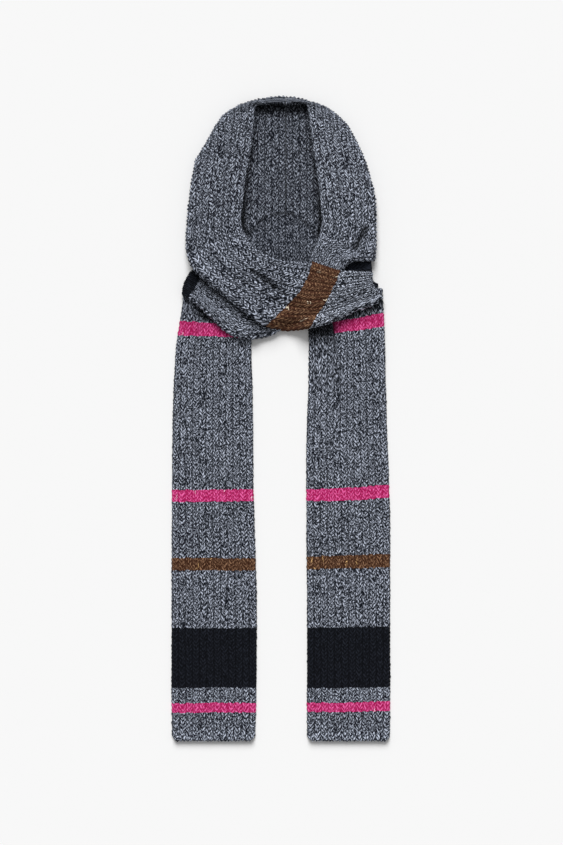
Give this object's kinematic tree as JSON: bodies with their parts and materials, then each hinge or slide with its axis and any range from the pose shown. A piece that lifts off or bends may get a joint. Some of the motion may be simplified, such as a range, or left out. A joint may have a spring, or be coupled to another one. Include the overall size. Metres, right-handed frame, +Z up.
{
  "type": "hooded scarf",
  "caption": "Hooded scarf in chunky striped rib knit, laid flat with its ends side by side and its neck wound once.",
  "frame": {"origin": "centre of the laid outline, on the surface it lies on", "axes": "+X to the right of the laid scarf, +Y from the hems to the crown, +Z up from the surface"},
  "size_m": [0.4062, 1.1937, 0.0398],
  "materials": {
    "marl_knit": "matte marled wool-blend rib knit",
    "navy_knit": "matte navy rib knit"
  },
  "bodies": {
    "root": {"hood_left": "marl_knit", "hood_right": "marl_knit", "neck_back": "marl_knit", "wrap_over": "marl_knit", "wrap_under": "marl_knit", "wrap_behind": "navy_knit", "left_tail": "marl_knit", "right_tail": "marl_knit"}
  },
  "joints": []
}
